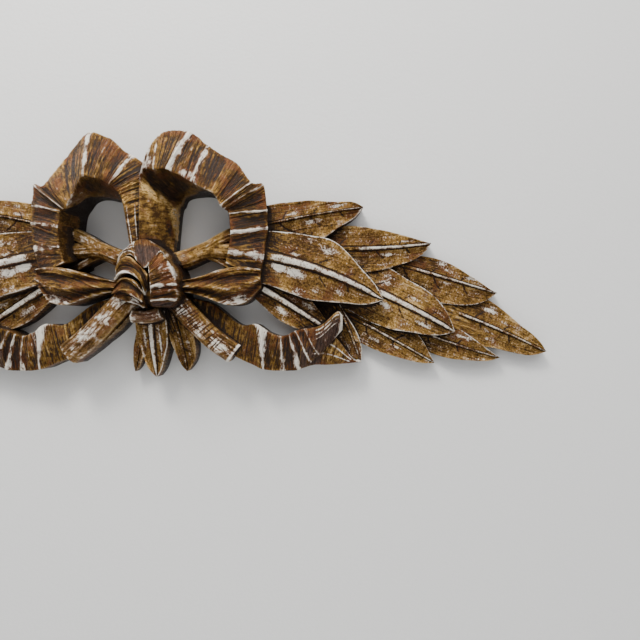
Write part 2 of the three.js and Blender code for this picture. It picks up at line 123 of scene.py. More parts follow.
def curve_through(places):
    """A smooth curve through the places, which share it out evenly."""
    points = np.array(places, float)
    padded = np.vstack([2 * points[0] - points[1], points, 2 * points[-1] - points[-2]])
    spans = len(points) - 1

    def at(shares):
        run = np.clip(np.atleast_1d(shares).astype(float), 0, 1) * spans
        index = np.minimum(run.astype(int), spans - 1)
        w = (run - index)[:, None]
        before, start, end, after = (padded[index + k] for k in range(4))
        leave = (end - before) / 2
        arrive = (after - start) / 2
        cubic = 2 * start - 2 * end + leave + arrive
        square = 3 * end - 3 * start - 2 * leave - arrive
        return ((cubic * w + square) * w + leave) * w + start

    return at


def waves(position, lengths, depth):
    """Irregular waves along a position in mm, from sines of the given wavelengths."""
    total = np.zeros_like(position)
    for length in lengths:
        total += np.sin(2 * np.pi * position / length + rng.uniform(0, 2 * np.pi))
    return depth * total / math.sqrt(len(lengths))


def bell(distance, width):
    return np.exp(-(distance / width) ** 2)


def patchy(position):
    """A weight from its least to 1 that comes and goes along a position in mm."""
    return mix(PATCH_LEAST, 1, smooth(-0.9, 0.6, waves(position, PATCH_WAVES, 1)))


def band(value, low, high, soft):
    """1 between low and high and 0 outside, with soft ends."""
    return smooth(low - soft, low + soft, value) * (1 - smooth(high - soft, high + soft, value))


def area(along, share, edges):
    """A soft-edged area of a ribbon, between two shares along it and two shares across it."""
    start, end, low, high = edges
    return band(along, start, end, 0.02)[:, None] * band(share, low, high, 0.08)


class Piece:
    """A closed mesh of rings, with marks at each vertex: a place in mm across the tool marks, a place in mm
    along them, how far the gilding is rubbed, its painted shade and grime, and how bare the wood is."""

    # The hollow mark darkens the colour with painted shade and grime
    MARKS = ("across_marks", "along_marks", "rub", "hollow", "bare")

    def __init__(self, rings, across, along, rub, hollow, bare=0):
        rows, around = rings.shape[:2]
        self.places = np.vstack([rings.reshape(-1, 3), rings[[0, -1]].mean(axis=1)])
        index = np.arange(rows * around).reshape(rows, around)
        beside = np.roll(index, -1, axis=1)
        self.quads = np.stack([index[:-1], beside[:-1], beside[1:], index[1:]], axis=-1).reshape(-1, 4)
        hub = np.full(around, rows * around)
        self.caps = np.vstack([
            np.stack([beside[0], index[0], hub], axis=-1),
            np.stack([index[-1], beside[-1], hub + 1], axis=-1),
        ])
        marks = [np.broadcast_to(mark, (rows, around)).ravel() for mark in (across, along, rub, hollow, bare)]
        marks = np.stack(marks, axis=-1)
        self.marks = np.vstack([marks, marks[0], marks[-1]])

    def mirrored(self):
        twin = object.__new__(Piece)
        twin.__dict__.update(self.__dict__, places=self.places * (-1, 1, 1))
        return twin

    def mesh(self, name):
        points = self.places[:, [0, 2, 1]] * (MM, -MM, MM)
        fan = np.vstack([self.quads[:, [0, 1, 2]], self.quads[:, [0, 2, 3]], self.caps])
        a, b, c = (points[fan[:, k]] for k in range(3))
        inward = np.einsum("ij,ij->i", a, np.cross(b, c)).sum() < 0
        faces = self.quads.tolist() + self.caps.tolist()
        if inward:
            faces = [face[::-1] for face in faces]
        mesh = bpy.data.meshes.new(name)
        mesh.from_pydata(points.tolist(), [], faces)
        return mesh


def side_by_side(*parts):
    return np.concatenate(parts, axis=1)


def wall_rows(top, foot, rows):
    """Places down a wall, below its top edge, closer together near the top."""
    shares = (np.arange(1, rows + 1) / rows) ** 1.5
    return top[:, None] + (foot - top)[:, None] * shares[None, :, None]


def footed(places):
    """The same places, brought down behind the back."""
    feet = places.copy()
    feet[:, 2] = -OVERRUN
    return feet


def straight_wall(top):
    """Places straight down from a top edge to behind the back."""
    return wall_rows(top, footed(top), WALL_ROWS)


def edge_shares(count):
    """Shares from 0 to 1, closer together at both ends."""
    even = np.linspace(0, 1, count)
    return 0.6 * even + 0.4 * (0.5 - 0.5 * np.cos(np.pi * even))


def worn_edge(distance):
    """How far the surface falls away at this distance in mm from an edge."""
    inside = np.clip(1 - distance / EDGE_ROUND, 0, 1)
    return EDGE_ROUND * (1 - np.sqrt(1 - inside ** 2)) * 0.8


RIBBON_SHARES = edge_shares(42)[None, :]
RIBBON_BREADTH = 40  # about its width in mm, for waves across it
RIDGE_SLANT = 9  # shift of a ridge's wander from edge to edge, in mm
RIDGE_WANDER = ((31, 47, 83), 0.8)  # lengths of its waves and their depth, in mm
CREST_POWER = 1.6  # less is a sharper crest between two channels
WEAR_WAVES = (21, 33, 53)
WEAR_WIDER = 1.1
WIDTH_SWING = 0.25  # how much the rubbed width of a ridge varies
WEAR_SWING = 0.12
RIBBON_SHADE = 0.42  # grime on the open surface of a ribbon
MARK_SHADE = 0.45  # and how much the tool marks vary it
PLEAT_SPOT = (0.72, 0.16, 0.86, 0.13)  # rubbed spot: share along and its size, share across and its size
CONTOUR_WEAR = 1.1
CONTOUR_LIFT = 0.5
CONTOUR_WIDTHS = (0.7, 1.2)  # of the rubbing and of the raised line
UNDER_ROWS = 14
# Painted shade on the inner face of a loop, under its top
UNDER_SHADE = 0.85
# Painted shade on the side walls that go down to the back
WALL_SHADE = 0.8
ROOT_FOLD = 3.5  # swell on the inner face of the right loop, near the knot


def at_edges(value):
    """A value at the front edge and at the outer edge, which is the same where only one is given."""
    return value if isinstance(value, tuple) else (value, value)


def channels(ridges, along, length):
    """Depth of the channels between a ribbon's ridges, and how far the ridges are rubbed.

    A ridge is its place along the ribbon, its wear, the width of that wear in mm, how soft its crest is, and
    the depth of the channel after it. The place and the width can differ from edge to edge."""
    share = RIBBON_SHARES
    rows = [(*at_edges(place), wear, *at_edges(wide), *rest) for place, wear, wide, *rest in ridges]
    front, outer, wear, width, outer_width, soft, depth = np.array(rows, float).T
    run = along[:, None] * length
    wander = waves(run + RIDGE_SLANT * share, *RIDGE_WANDER) * np.sin(np.pi * share)
    here = np.clip(along[:, None] + wander / length, 0, 1)
    number = np.empty(here.shape)
    for column, part in enumerate(share[0]):
        number[:, column] = np.interp(here[:, column], mix(front, outer, part), np.arange(len(front)))
    slot = np.minimum(number.astype(int), len(front) - 2)
    step = number - slot
    crisp = 1 - np.abs(2 * step - 1) ** CREST_POWER
    round_ = np.sin(np.pi * step) ** 2
    nearer_soft = np.where(step < 0.5, soft[slot], soft[slot + 1])
    dip = mix(crisp, round_, nearer_soft) * depth[slot]
    rub = np.zeros(here.shape)
    for ridge in range(len(front)):
        away = (here - mix(front[ridge], outer[ridge], share)) * length
        swing = waves(RIBBON_BREADTH * share, WEAR_WAVES, 1)
        wide = mix(width[ridge], outer_width[ridge], share) * (WEAR_WIDER + WIDTH_SWING * swing)
        rub = np.maximum(rub, wear[ridge] * (1 + WEAR_SWING * swing) * bell(away, wide))
    return dip, rub


def root_fold(along):
    """Swell, and then a hollow, along the inner face of a loop near the knot."""
    return ROOT_FOLD * (bell(along - 0.09, 0.05) - 0.7 * bell(along - 0.19, 0.04))[:, None]


def root_shade_and_highlight(under, along):
    """Painted shade on the inner face of a loop, with a painted highlight and a darker line that curve away
    from the knot toward the front edge."""
    toward_front = np.linspace(0, 1, under.shape[1])
    painted_highlight = bell(along[:, None] - mix(0.04, 0.16, toward_front), 0.028)
    dark = bell(along[:, None] - mix(0.02, 0.24, toward_front ** 2), 0.012)
    return np.minimum(under + 0.4, UNDER_SHADE) - 1.5 * painted_highlight + 1.1 * dark


def ribbon(front, outer, ridges, inner=None, gouge=RIBBON_GOUGE, crown=RIBBON_CROWN, pleats=0, lean=0,
           edge_wear=(0.25, 0.15), edge_width=0.9, pleat_wear=0.5, bare=None, worn=(), contours=None,
           shade_start=-1):
    """A ribbon between a front edge and an outer edge, with channels across it between its ridges, or with
    pleats along it. An inner edge gives it an inner face, which is darkened with painted shade beyond a
    given share of its length. The foot of the outer wall leans in. Bare and worn are areas of the ribbon,
    and contours are rubbed lines along a part of it."""
    front_at, outer_at = curve_through(front), curve_through(outer)
    inner_at = curve_through(inner) if inner is not None else front_at
    rough = np.linspace(0, 1, 60)
    length = np.linalg.norm(np.diff(mix(front_at(rough), outer_at(rough), 0.5), axis=0), axis=1).sum()
    along = np.linspace(0, 1, max(12, round(length / STATION)))
    f, o, n = front_at(along), outer_at(along), inner_at(along)
    flat = np.hypot(*(o - f)[:, :2].T)
    span = np.hypot(flat, (o - f)[:, 2])
    fall = (f[:, 2] - o[:, 2]) / span
    normal = np.stack([(o - f)[:, 0] / flat * fall, (o - f)[:, 1] / flat * fall, flat / span], axis=-1)
    share = RIBBON_SHARES
    run = along[:, None] * length
    edge = EDGE_DIP + (1 - EDGE_DIP) * smooth(0, 0.25, np.minimum(share, 1 - share))
    dip, rub = channels(ridges, along, length)
    swell = crown * 4 * share * (1 - share)
    if pleats:
        turn = 2 * np.pi * (pleats * share + 0.12 * np.sin(2 * np.pi * along[:, None]))
        swell = swell + PLEAT_DEPTH * np.cos(turn)
        rub = pleat_wear * smooth(0.8, 1, np.cos(turn)) * smooth(0.3, 0.9, along[:, None])
        spot, spot_length, spot_share, spot_width = PLEAT_SPOT
        rubbed = bell(along[:, None] - spot, spot_length) * bell(share - spot_share, spot_width)
        rub = np.maximum(rub, 1.9 * pleat_wear * rubbed)
        # The troughs of the pleats are darker and their crests lighter: painted shade and grime
        dip = 0.3 - 0.55 * np.cos(turn)
        marks = waves(share * span[:, None] + 0.05 * run, (2.1, 3.1, 4.3), STREAK_DEPTH)
        lift = swell + marks
    else:
        marks = waves(run + 5 * share, (1.9, 2.7, 3.7, 5.3), STREAK_DEPTH)
        lift = swell + marks - gouge * dip * edge
    to_front, to_outer = share * span[:, None], (1 - share) * span[:, None]
    lift = (lift - worn_edge(np.minimum(to_front, to_outer))) * (flat / span)[:, None]
    # The depth of the channels and the low parts of the tool marks darken the ribbon: painted shade and grime
    dip = dip + RIBBON_SHADE - MARK_SHADE * marks / STREAK_DEPTH
    for wear, distance in zip(edge_wear, (to_front, to_outer)):
        rub = np.maximum(rub, wear * patchy(run) * bell(distance, edge_width))
    if contours:
        start, end, lines = contours
        reach = band(along, start, end, 0.03)[:, None]
        for line in lines:
            away = (share - line) * span[:, None]
            rub = np.maximum(rub, CONTOUR_WEAR * reach * bell(away, CONTOUR_WIDTHS[0]))
            lift += CONTOUR_LIFT * reach * bell(away, CONTOUR_WIDTHS[1])

    face = f[:, None] + (o - f)[:, None] * share[..., None] + normal[:, None] * lift[..., None]
    foot = mix(face[:, -1], n, (np.minimum(0.5, lean / span) * (1 - along ** 4))[:, None])
    walls = wall_rows(face[:, -1], footed(foot), WALL_ROWS)
    if inner is None:
        back = wall_rows(face[:, 0], footed(n), WALL_ROWS)[:, ::-1]
    else:
        rise = wall_rows(n, footed(n), 4)[:, ::-1]
        steps = np.linspace(0, 1, UNDER_ROWS + 1)[None, :-1, None]
        under_rows = n[:, None] + (face[:, 0] - n)[:, None] * steps
        if shade_start > 0:
            under_rows[..., 0] += root_fold(along) * np.sin(np.pi * steps[..., 0])
        back = side_by_side(rise, under_rows)
    rings = side_by_side(face, walls, back)
    plain = np.zeros((len(along), walls.shape[1] + back.shape[1]))
    rub = side_by_side(rub, plain)
    # The inner face is darkened with painted shade from the given share along; at the right loop's root it
    # also gets a painted highlight
    under = mix(0, UNDER_SHADE, smooth(shade_start, shade_start + 0.1, along))[:, None]
    under = under + plain[:, walls.shape[1]:]
    if shade_start > 0:
        under = root_shade_and_highlight(under, along)
    hollow = side_by_side(dip, plain[:, :walls.shape[1]] + WALL_SHADE, under)
    down = np.linalg.norm(rings - rings[:, :1], axis=-1)
    patch = np.zeros(rub.shape)
    if bare:
        patch[:, :share.size] = area(along, share, bare)
    for edges in worn:
        rub[:, :share.size] = np.maximum(rub[:, :share.size], 0.8 * area(along, share, edges))
    if pleats:
        return Piece(rings, down, run, rub, hollow, patch)
    return Piece(rings, run, down, rub, hollow, patch)


STEM_OFFSETS = np.linspace(-1, 1, 29)[None, :]
ROUND_SIDES = 0.45  # height left at the sides of a round stem
SQUARE_ROUND = 0.28
SQUARE_TILT = 0.05
SAW_GAPS = (2.2, 4.4)  # least and greatest distance between saw marks
SAW_SLANTS = (0.5, 2.5)
SAW_WIDTH = 0.5
SAW_DEPTH = 0.5
SAW_GRIME = 2.4


def stem(row, square=False, wear=0.3, worn_side=0, cuts=0, lip=False, bare=0):
    """A stem through a row of across, up, out and half width, round or sawn square. It is rubbed most
    toward its worn side, cuts is the number of saw marks across it, and a lip is a worn rim at its end."""
    row = np.array(row, float)
    at, half_at = curve_through(row[:, :3]), curve_through(row[:, 3:])
    length = np.linalg.norm(np.diff(row[:, :3], axis=0), axis=1).sum()
    along = np.linspace(0, 1, max(8, round(length / (STATION / 2 if cuts else STATION))))
    place, half = at(along), half_at(along)
    ahead = (at(np.minimum(1, along + 0.01)) - at(np.maximum(0, along - 0.01)))[:, :2]
    ahead = ahead / np.hypot(*ahead.T)[:, None]
    side = np.stack([-ahead[:, 1], ahead[:, 0]], axis=-1)
    offset = STEM_OFFSETS
    if square:
        high = 1 - SQUARE_ROUND * np.abs(offset) ** 6 - SQUARE_TILT * np.maximum(0, offset)
    else:
        high = mix(ROUND_SIDES, 1, np.sqrt(1 - offset ** 2 * 0.98))
    run = along[:, None] * length
    marks = waves(offset * half + 0.04 * run, (2.3, 3.4, 5.1, 7.7), STREAK_DEPTH)
    side_share = bell(offset - worn_side, 0.9) * (0.55 + 0.45 * patchy(run))
    # The low parts of the tool marks are darker: painted shade and grime
    dip = -0.3 * marks / STREAK_DEPTH
    for start in np.cumsum(rng.uniform(*SAW_GAPS, cuts)):
        saw = bell(run - start - rng.uniform(*SAW_SLANTS) * offset, SAW_WIDTH)
        saw = saw * bell(offset - rng.uniform(-0.5, 0.5), 0.8)
        marks -= SAW_DEPTH * saw
        dip += SAW_GRIME * saw
    if lip:
        side_share = np.maximum(side_share, smooth(-3.2, -1.8, run - length) / max(wear, 0.1))
    top = place[:, None, 2] - (1 - high) * 2 * half + marks
    beside = place[:, None, :2] + side[:, None] * (offset * half)[..., None]
    face = np.concatenate([beside, top[..., None]], axis=-1)
    rings = side_by_side(face, straight_wall(face[:, -1]), straight_wall(face[:, 0])[:, ::-1])
    wall = np.ones((len(along), WALL_ROWS))
    across = side_by_side(offset + 0 * run, wall, -wall) * half
    rub = side_by_side(wear * side_share - 0.2 * np.maximum(dip, 0), 0 * wall, 0 * wall)
    hollow = side_by_side(dip, WALL_SHADE * wall, WALL_SHADE * wall)
    return Piece(rings, across, run, rub, hollow, bare)


BLADE_WEAR = 0.2
PLACE_WEAR = 1.15  # of the wear given for a rubbed place
OUTLINE_WAVES = (27, 41, 61)
BLADE_WAVES = (17, 23, 37)
RIB_LIMIT = 0.3  # widest half midrib, of the blade's width
RIB_TAPER = (1.2, 0.5)  # width of a midrib at its foot and at its tip
CUP_LIMIT = 0.1  # deepest cup, of the blade's width
CUP_POWER = 1.36  # more moves the deepest line of a blade outward
VEIN_GRIME = 1.6
LEAF_MARKS = 0.2  # depth of the tool marks
LEAF_GRAIN = 3.5  # how much shorter the marks are on a leaf than on a ribbon
LEAF_TAPER = 8  # how suddenly a leaf closes at its tip
LEAF_POINT = 0.5  # half width left at the very tip
BLADE_SHARES = edge_shares(34)[None, :]


def leaf(base, tip, heights, bend, left, right, rims, rib_finish, places):
    """A leaf with a raised midrib, cupped blades, side veins and a beaded rim. Its bend and its widths, at
    the base, at each quarter and toward the tip, are percentages of its length. The midrib has a share where
    it starts, its wear and its width. Rubbed places have a share along the leaf, a distance from the midrib,
    half their length, half their width and their wear."""
    base, tip = np.array(base, float), np.array(tip, float)
    length = np.hypot(*(tip - base))
    ahead = (tip - base) / length
    aside = np.array([-ahead[1], ahead[0]])
    bend = bend / PERCENT
    share = np.linspace(0, 1, max(30, round(length / LEAF_STATION)))
    slope = 4 * (1 - 2 * share) * bend
    across = (aside - slope[:, None] * ahead) / np.hypot(1, slope)[:, None]
    bow_out = (4 * share * (1 - share) * bend * length)[:, None]
    middle = base + ahead * (share * length)[:, None] + aside * bow_out
    low, high, end = heights
    ridge = mix(mix(low, high, share), mix(high, end, share), share)[:, None]
    run = (share * length)[:, None]
    u = BLADE_SHARES
    rib_start, wear, rib_scale = rib_finish
    rib_share = smooth(rib_start - 0.05, rib_start + 0.08, share)[:, None]

    def blade(widths, sign, rim_wear):
        widths_at = curve_through(np.array(widths)[:, None] / PERCENT)
        spread = widths_at(share) * (1 - share ** LEAF_TAPER)[:, None]
        wobble = 1 + waves(run, OUTLINE_WAVES, 0.01)
        reach = np.maximum(LEAF_POINT, length * spread * wobble)
        rib = np.minimum(RIB_WIDTH / 2 * rib_scale, RIB_LIMIT * reach) * mix(*RIB_TAPER, share)[:, None]
        rim = ridge - BLADE_SLOPE * reach
        offset = u * reach
        cup = np.sin(np.pi * u ** CUP_POWER)
        surface = mix(ridge - RIB_HEIGHT, rim, u) - np.minimum(BLADE_CUP, CUP_LIMIT * reach) * cup
        groove = bell(offset - 1.35 * rib, 0.28 * rib + 0.25)
        surface += RIB_HEIGHT * rib_share * (1 - smooth(0.85 * rib, 1.3 * rib, offset))
        surface -= RIB_GROOVE * groove * smooth(0.5, 2.5, reach)
        surface += RIM_BEAD * bell(reach - offset, 1.6)
        roll = np.sin(2 * np.pi * (1.4 * run / length + rng.uniform(0, 1))) * np.sin(np.pi * share[:, None])
        surface += BLADE_WAVE * roll * smooth(0.2, 0.9, u)
        surface += waves(run, BLADE_WAVES, 0.5) * np.sin(np.pi * u)
        on_rib = 1 - smooth(0.7 * rib, 1.2 * rib, offset)
        rub = wear * rib_share * (0.75 + 0.25 * patchy(run)) * on_rib
        # Painted shade in the cup of the blade and in the grooves beside the midrib, darker where the rim
        # falls and lighter where it rises
        hollow = 0.22 * cup + groove - 0.45 * roll * u
        first = rng.uniform(0.2, 0.7) * VEIN_GAP
        for start in np.arange(first + 0.1 * length, 0.8 * length, VEIN_GAP):
            away = run - start - rng.uniform(0.1, 0.4) * offset - 0.05 * offset ** 2
            reach_out = smooth(1.6 * rib, 2.4 * rib, offset) * (1 - smooth(0.4, 0.52, u))
            surface -= VEIN_DEPTH * bell(away, VEIN_WIDTH) * reach_out
            hollow += VEIN_GRIME * bell(away, VEIN_WIDTH) * reach_out
            spot = bell(run - start - rng.uniform(5, 20), rng.uniform(7, 14))
            spot = spot * bell(u - rng.uniform(0.3, 0.9), 0.15)
            rub = np.maximum(rub, rng.uniform(0.25, 0.6) * spot)
        for place, aside, half_length, half_width, weight in places:
            if aside * sign > 0:
                away = run - place * length - 0.4 * (offset - abs(aside))
                spot = bell(away, half_length) * bell(offset - abs(aside), half_width)
                rub = np.maximum(rub, PLACE_WEAR * weight * spot * smooth(rib, 1.7 * rib, offset))
        rub = np.maximum(rub, BLADE_WEAR * np.sin(np.pi * u))
        # Painted shade toward the base of the leaf
        hollow += 0.7 * (1 - smooth(0.02, 0.25, share))[:, None]
        marks = waves(offset + 0.06 * run + 2 * np.sin(run / 19), (2.1, 2.9, 4.3), LEAF_MARKS)
        marks = marks * smooth(0.1, 0.2, u)
        surface = surface + marks - worn_edge(reach - offset)
        # The low parts of the tool marks are darker: painted shade and grime
        hollow -= 1.2 * marks
        rub = np.maximum(rub, 1.3 * rim_wear * (0.6 + 0.4 * patchy(run)) * bell(reach - offset, 1))
        flat = middle[:, None] + across[:, None] * (sign * offset)[..., None]
        face = np.concatenate([flat, surface[..., None]], axis=-1)
        wall = np.ones((len(share), WALL_ROWS))
        return (
            side_by_side(face, straight_wall(face[:, -1])),
            sign * side_by_side(offset, offset[:, -1:] * wall),
            side_by_side(rub, 0 * wall),
            side_by_side(hollow, WALL_SHADE * wall),
        )

    pairs = zip(blade(left, 1, rims[0]), blade(right, -1, rims[1]))
    rings, offsets, rub, hollow = (side_by_side(one[:, :0:-1], other) for one, other in pairs)
    return Piece(rings, offsets, run * LEAF_GRAIN, rub, hollow)


# The laurel spray, back leaves first: base, tip, heights, bend, widths to the left and to the right, how far
# both rims are rubbed, and then the midrib and the rubbed places as leaf() takes them
SPRAY_LEAVES = [
    ((1.6, 18.8), (36.1, 25.4), (62, 60, 42), 1,
     (18, 17.5, 15, 10, 14), (25, 28, 26, 17, 15), (0.1, 0.6), (0.1, 0.6, 0.3),
     [(0.5, -6, 12, 3, 0.7), (0.3, 5, 9, 2, 0.6), (0.75, 5, 9, 2, 0.7)]),
    ((20, 11.8), (59.7, 13.1), (20, 66, 36), -3,
     (18, 20.5, 17.5, 11.5, 4), (20, 22, 20, 16.5, 17), (0.15, 0.5), (0.34, 0.9, 0.65),
     [(0.62, -7, 10, 2, 0.9), (0.8, 5, 9, 1.5, 0.8)]),
    ((42, 8.2), (82.7, -4.1), (15, 58, 30), -0.5,
     (11, 11.5, 13, 8, 2), (20, 23, 22, 19.5, 20), (0.15, 0.6), (0.3, 0.8, 0.5),
     [(0.5, 12, 8, 3, 0.6), (0.6, -5, 12, 1.5, 0.6), (0.75, 6, 6, 1.5, 0.8)]),
    ((57, -6.2), (100, -24.4), (10, 58, 27), 1.1,
     (17, 20, 17, 10.5, 10), (18, 19, 17, 13, 15), (0.15, 0.3), (0.28, 0.72, 0.45),
     [(0.5, 14, 11, 3, 0.8), (0.65, 8, 10, 1.5, 0.7), (0.55, -6, 9, 1.5, 0.5)]),
    ((50, -14.5), (83.8, -26.5), (10, 50, 27), -2.4,
     (19, 19, 16.5, 10, 4), (15, 15.5, 15.5, 11.3, 10), (0.7, 0.2), (0.2, 0.65, 0.35),
     [(0.6, 9, 12, 1.6, 0.6), (0.4, -7, 9, 1.5, 0.5)]),
    ((29, -10.6), (61, -28.3), (25, 54, 30), 0.5,
     (19, 20, 20, 16.5, 8), (19, 18, 16.5, 12, 10), (0.6, 0.2), (0.2, 0.72, 0.4),
     [(0.4, -9, 12, 2.5, 0.7), (0.62, -5, 9, 1.5, 0.6), (0.5, 10, 9, 1.5, 0.5)]),
    ((26.4, -6.6), (35.3, -28), (35, 58, 35), 2.3,
     (3, 5, 9, 10, 10), (27, 32, 31, 22, 10), (0.9, 0.2), (0.1, 0.4, 0.4),
     [(0.5, -8, 9, 1, 0.5)]),
    ((-1, -1.2), (26.4, -18.6), (60, 58, 38), 1.3,
     (16, 19, 18, 12, 5), (11, 17.5, 19.5, 15, 10), (0.3, 0.4), (0.05, 0.95, 0.95),
     [(0.4, -9, 10, 3, 0.8), (0.6, 9, 10, 3, 0.6)]),
    ((29, 2), (67.4, -17.4), (20, 90, 50), 1.2,
     (20, 21.5, 19, 17.5, 13), (20, 24, 23.5, 17, 16), (0.7, 0.7), (0.3, 1, 0.95),
     [(0.42, -9, 9, 3, 0.9), (0.74, -9, 8, 2, 0.9), (0.35, 11, 9, 3, 0.7), (0.6, 9, 9, 2, 0.6)]),
    ((1.9, 8.4), (42.6, -6.7), (80, 104, 76), 4.5,
     (19, 22.8, 24.3, 14.5, 10), (21, 23.8, 23.8, 17.8, 17), (0.8, 0.8), (0.07, 1.05, 1.15),
     [(0.14, -8, 8, 4.5, 1.4), (0.27, -10, 10, 4.5, 1.2), (0.47, 20, 9, 4, 0.9), (0.25, 7, 9, 2, 0.7),
      (0.66, -13, 9, 3, 0.6)]),
]
# The low ground under the leaves: across, up and half width
GROUND_ROW = [
    (-12, 9, 5), (3, 8.5, 11), (30, -1, 14), (60, -10.5, 9), (86, -18.5, 3),
]


def laurel_spray():
    leaves = [
        leaf(spray(base), spray(tip), np.array(heights) / PERCENT * SPRAY_RELIEF, *rest)
        for base, tip, heights, *rest in SPRAY_LEAVES
    ]
    row = [(*spray(place), GROUND_HEIGHT, wide / PERCENT * SPRAY_LENGTH) for *place, wide in GROUND_ROW]
    return [*leaves, stem(row, square=True, wear=0)]


# The right loop: front, outer and inner edges, section by section from the knot and round
LOOP_FRONT = [
    (-4, 10, 81), (-2, 46, 93), (0, 67, 96), (11, 69, 100), (22, 69, 100), (40, 62, 94), (57, 55, 87),
    (63, 47, 85), (66, 45, 85), (70, 42, 83), (71, 26, 83), (67, 10, 80),
]
LOOP_OUTER = [
    (-12, 13, 37), (-8, 51, 45), (1, 81, 76), (14, 98.5, 63), (35, 99, 57), (50, 90, 56), (74, 78, 57),
    (87, 65, 59), (97, 63, 61), (100, 46, 57), (100, 30, 57), (94, 1, 52),
]
LOOP_INNER = [
    (17, 13, 37), (21, 47, 35), (24, 53, 33), (26, 57, 33), (30, 59, 33), (38, 60, 33), (49, 60, 33),
    (56, 56, 33), (60, 52, 33), (65, 45, 33), (67, 28, 33), (65, 13, 37),
]
# Each ridge: place along the loop, wear, width of the wear in mm, softness, depth of the next channel. A
# pair is the value at the front edge and the value at the outer edge.
LOOP_RIDGES = [
    (0, 0, 1, 1, 0.15), (0.09, 0, 1, 1, 0.15), (0.16, 0.8, 1, 0, 0.2), (0.19, 0.85, 2.4, 0, 0.3),
    ((0.225, 0.21), 1, 2, 0, 0.35), ((0.27, 0.25), 0.85, 1.2, 0.3, 0.8), (0.364, 1.2, 3.6, 0, 0.8),
    (0.41, 0.5, 0.8, 0.2, 0.7), (0.455, 0.95, 2, 0, 1), (0.545, 0.2, 2, 1, 0.8), (0.636, 1, 1.6, 0, 0.5),
    (0.727, 0.6, 1.6, 0, 1), (0.818, 1.1, 1.2, 0, 1), (0.89, 1.2, 2.2, 0, 0.9),
    (0.96, 0.8, 2.6, 0.5, 0.6), (1, 0.3, 1, 0, 0),
]

# The left loop turns its outer face to the front at its root, and then follows the right one
LEFT_ROOT_FRONT = [
    (12, 19, 74), (15, 35, 78), (18, 52, 85), (24, 58, 89), (29, 61, 93), (38, 64, 96), (50, 64, 92),
]
LEFT_ROOT_OUTER = [
    (5, 12, 56), (3, 43, 63), (0, 62, 67), (-1, 74, 70), (20, 86, 65), (34, 95, 59), (55, 97, 57),
]
LEFT_ROOT_INNER = [
    (19, 21, 37), (22, 38, 37), (26, 52, 37), (31, 56, 37), (37, 57, 37), (43, 58, 35), (50, 58, 35),
]
LEFT_RIDGES = [
    (0, 0.2, 1, 1, 0.2), (0.1, 0.1, 1, 1, 0.3), (0.23, 0.2, 1, 0.7, 0.9), (0.33, 0.9, 2, 0, 0.8),
    (0.395, 0.1, 1, 1, 0.5), (0.45, 0.5, 0.8, 0, 0.9), (0.53, 1, 2.4, 0, 1), (0.62, 0.3, 1.2, 0.5, 0.9),
    (0.727, 0.8, 1.6, 0, 1), (0.8, 0.9, 1.3, 0, 1), (0.87, 0.8, 2, 0, 0.9), (0.94, 0.7, 2, 0.5, 0.6),
    (1, 0.2, 1, 0, 0),
]


def follow_right(root, whole):
    return bow(root + whole[len(root):])


def right_loop():
    return ribbon(bow(LOOP_FRONT), bow(LOOP_OUTER), LOOP_RIDGES, bow(LOOP_INNER), lean=LOOP_LEAN,
                  bare=(0.17, 0.215, 0.05, 0.3), worn=[(0.15, 0.25, 0, 0.38), (0.4, 0.47, 0, 0.2)],
                  shade_start=0.12)


def left_loop():
    return ribbon(
        follow_right(LEFT_ROOT_FRONT, LOOP_FRONT), follow_right(LEFT_ROOT_OUTER, LOOP_OUTER), LEFT_RIDGES,
        follow_right(LEFT_ROOT_INNER, LOOP_INNER), lean=LOOP_LEAN, contours=(-1, 0.14, (0.12, 0.5, 0.8)),
    ).mirrored()


PLAIN_RIDGES = [
    (0, 0, 1, 1, 0), (1, 0, 1, 1, 0),
]
RETURN_UPPER = [
    (9, -3, 63), (29, -1, 67), (46, 2, 70), (62, 6, 74), (78, 8, 70), (94, 7, 60),
]
RETURN_LOWER = [
    (7, -8, 56), (29, -8, 59), (48, -12, 63), (67, -17, 67), (82, -15, 61), (94, -5, 50),
]


def loop_return():
    return ribbon(bow(RETURN_UPPER), bow(RETURN_LOWER), PLAIN_RIDGES, crown=4, pleats=2, edge_wear=(0.1, 0.3))


TAIL_UPPER = [
    (25, -11, 37), (51, -16, 37), (75, -30, 41), (90, -30, 50), (102, -36, 48), (113, -38, 43),
    (125, -34, 46), (144, -31, 50), (158, -22, 66), (163, -24, 62),
]
TAIL_LOWER = [
    (30, -26, 33), (53, -43, 35), (73, -53, 37), (87, -58, 43), (97, -61, 46), (112, -62, 39),
    (127, -61, 41), (141, -53, 44), (153, -43, 52), (163, -34, 55),
]
TAIL_RIDGES = [
    (0, 0, 1, 1, 0.3), (0.2, 0, 2, 1, 0.4), ((0.34, 0.42), 0.75, (3, 1), 0.6, 0.1),
    ((0.37, 0.43), 1.2, (9, 1.5), 0, 0.9), ((0.46, 0.5), 0.35, 0.8, 0, 0.5),
    ((0.53, 0.56), 0.9, (0.9, 3.4), 0, 1), ((0.6, 0.66), 0.95, (0.9, 4.4), 0, 1),
    ((0.65, 0.74), 0.9, (0.8, 2.2), 0, 0.8), ((0.7, 0.8), 0.8, (0.7, 0.9), 0, 0.3),
    ((0.78, 0.86), 0.3, 0.8, 0.5, 0.3), (1, 1.3, (10, 7), 0, 0),
]
TONGUE_UPPER = [
    (128, -42, 43), (141, -36, 43), (156, -38, 42), (172, -53, 31), (179, -55, 26),
]
TONGUE_RIDGES = [
    (0, 0, 1, 1, 0.6), (0.5, 0, 1, 1, 0.7), (1, 0, 1, 1, 0),
]
TONGUE_LOWER = [
    (126, -61, 39), (139, -58, 37), (151, -58, 35), (170, -57, 30), (180, -56, 24),
]


